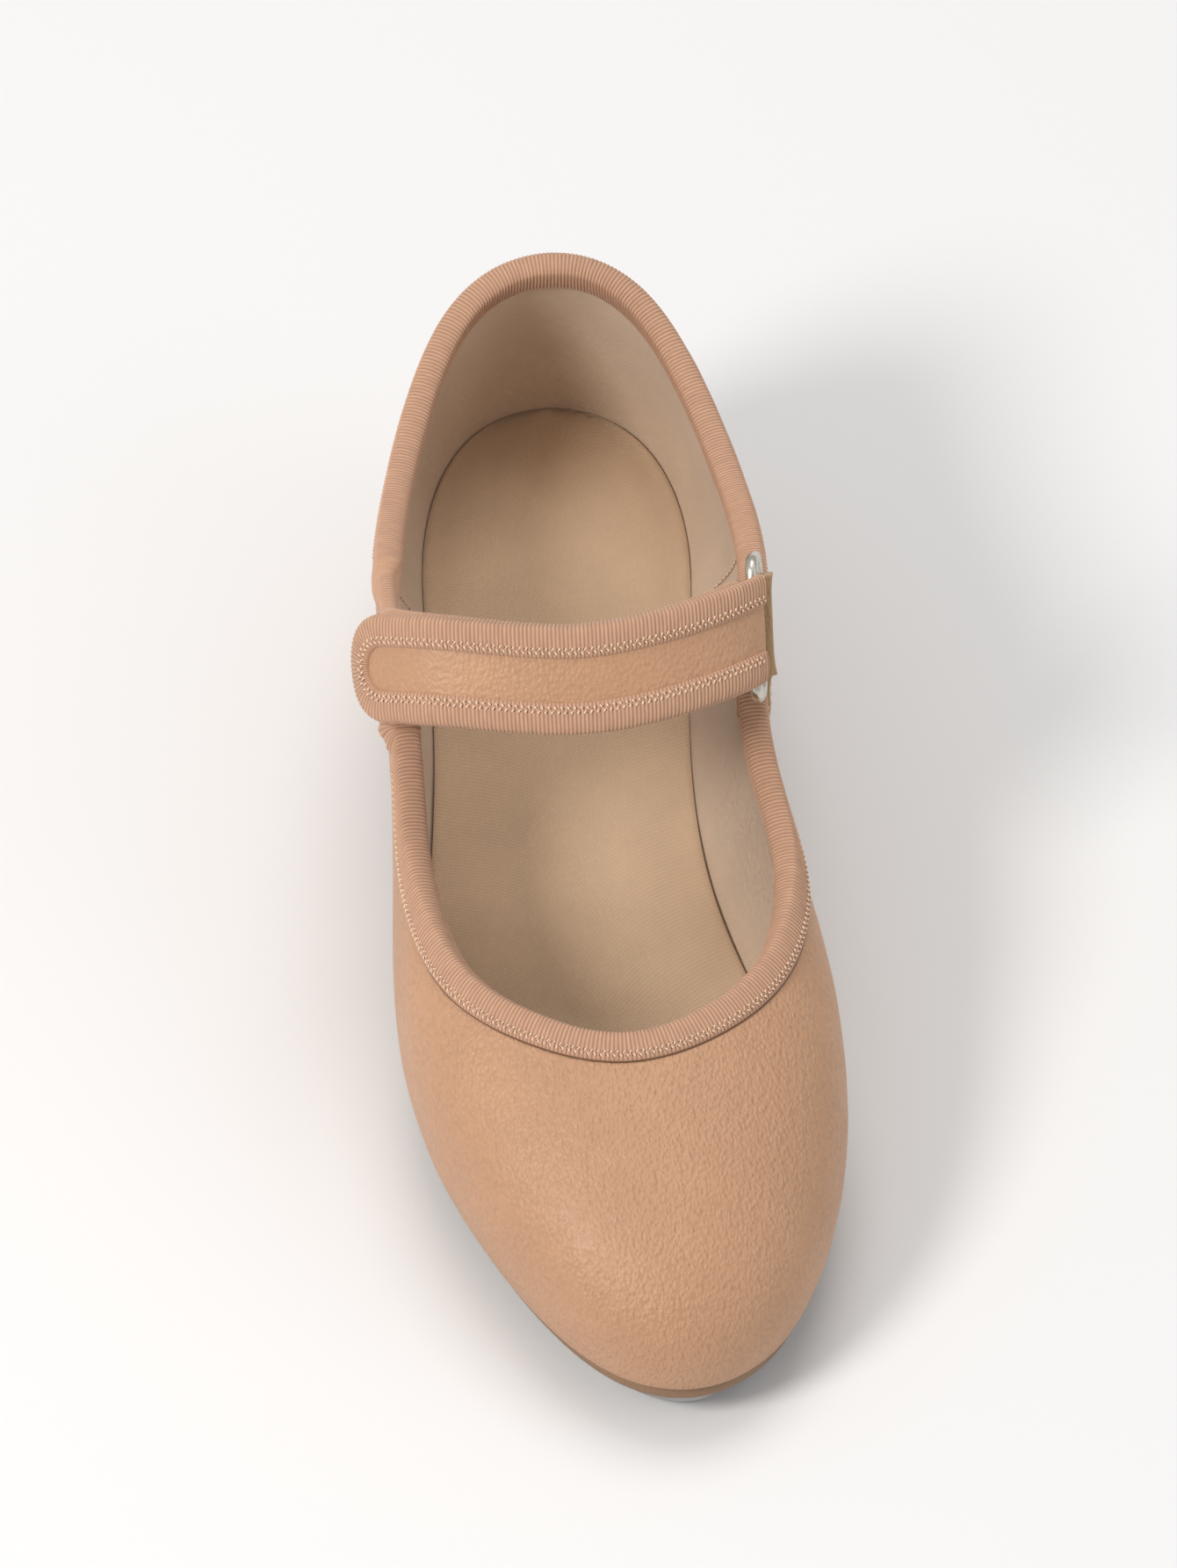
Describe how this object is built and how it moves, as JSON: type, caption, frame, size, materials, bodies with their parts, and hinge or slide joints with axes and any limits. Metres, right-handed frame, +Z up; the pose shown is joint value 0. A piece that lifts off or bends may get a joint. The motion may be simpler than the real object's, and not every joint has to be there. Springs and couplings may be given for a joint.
{
  "type": "tap shoe",
  "caption": "Low-heeled Mary Jane tap shoe for the right foot, with a hook-and-loop instep strap through a metal ring and metal taps under toe and heel.",
  "frame": {"origin": "middle of the whole shoe's plan on the floor, strap closed", "axes": "+Z up, toe towards -Y, inner (big toe) side towards +X"},
  "size_m": [0.0896, 0.2416, 0.0954],
  "materials": {
    "caramel_leather": "satin pebbled",
    "grosgrain": "ribbed matt",
    "cotton_lining": "matt",
    "sole_suede": "suede",
    "heel_cover": "satin",
    "rubber": "matt",
    "fibre_board": "matt",
    "insole_board": "matt",
    "cork": "matt",
    "aluminium": "brushed",
    "nickel": "polished",
    "steel": "plain",
    "hook_tape": "fuzzy"
  },
  "bodies": {
    "shoe": {"vamp": "caramel_leather", "quarter_inner": "caramel_leather", "quarter_outer": "caramel_leather", "back_strip": "caramel_leather", "ring_tab": "caramel_leather", "sole_edge_band": "caramel_leather", "topline_tape_front": "grosgrain", "topline_tape_rear": "grosgrain", "lower_strap_tape_front": "grosgrain", "lower_strap_tape_rear": "grosgrain", "vamp_lining": "cotton_lining", "quarter_lining": "cotton_lining", "sock_liner": "cotton_lining", "outsole": "sole_suede", "heel_block": "heel_cover", "heel_lift": "rubber", "toe_tap_board": "fibre_board", "toe_puff": "fibre_board", "heel_counter": "fibre_board", "insole_board": "insole_board", "forepart_filler": "cork", "toe_tap": "aluminium", "heel_tap": "aluminium", "shank": "steel", "heel_seat_screw": "steel", "toe_tap_screw_1": "steel", "toe_tap_screw_2": "steel", "toe_tap_screw_3": "steel", "heel_tap_screw_1": "steel", "heel_tap_screw_2": "steel", "heel_tap_screw_3": "steel", "loop_patch": "hook_tape"},
    "ring": {"strap_ring": "nickel", "strap_fold": "caramel_leather"},
    "strap": {"upper_strap": "caramel_leather", "upper_strap_tape": "grosgrain", "hook_patch": "hook_tape"}
  },
  "joints": [
    {"name": "ring_swing", "type": "hinge", "parent": "shoe", "child": "ring", "pos_m": [0.03338, 0.01338, 0.07597], "axis": [0, 0.6691, 0.7431], "range_deg": [0, 35]},
    {"name": "strap_swing", "type": "hinge", "parent": "ring", "child": "strap", "pos_m": [0.03203, 0.00651, 0.08164], "axis": [0, 0.6691, 0.7431], "range_deg": [0, 120], "deforming": ["strap_fold"]}
  ]
}
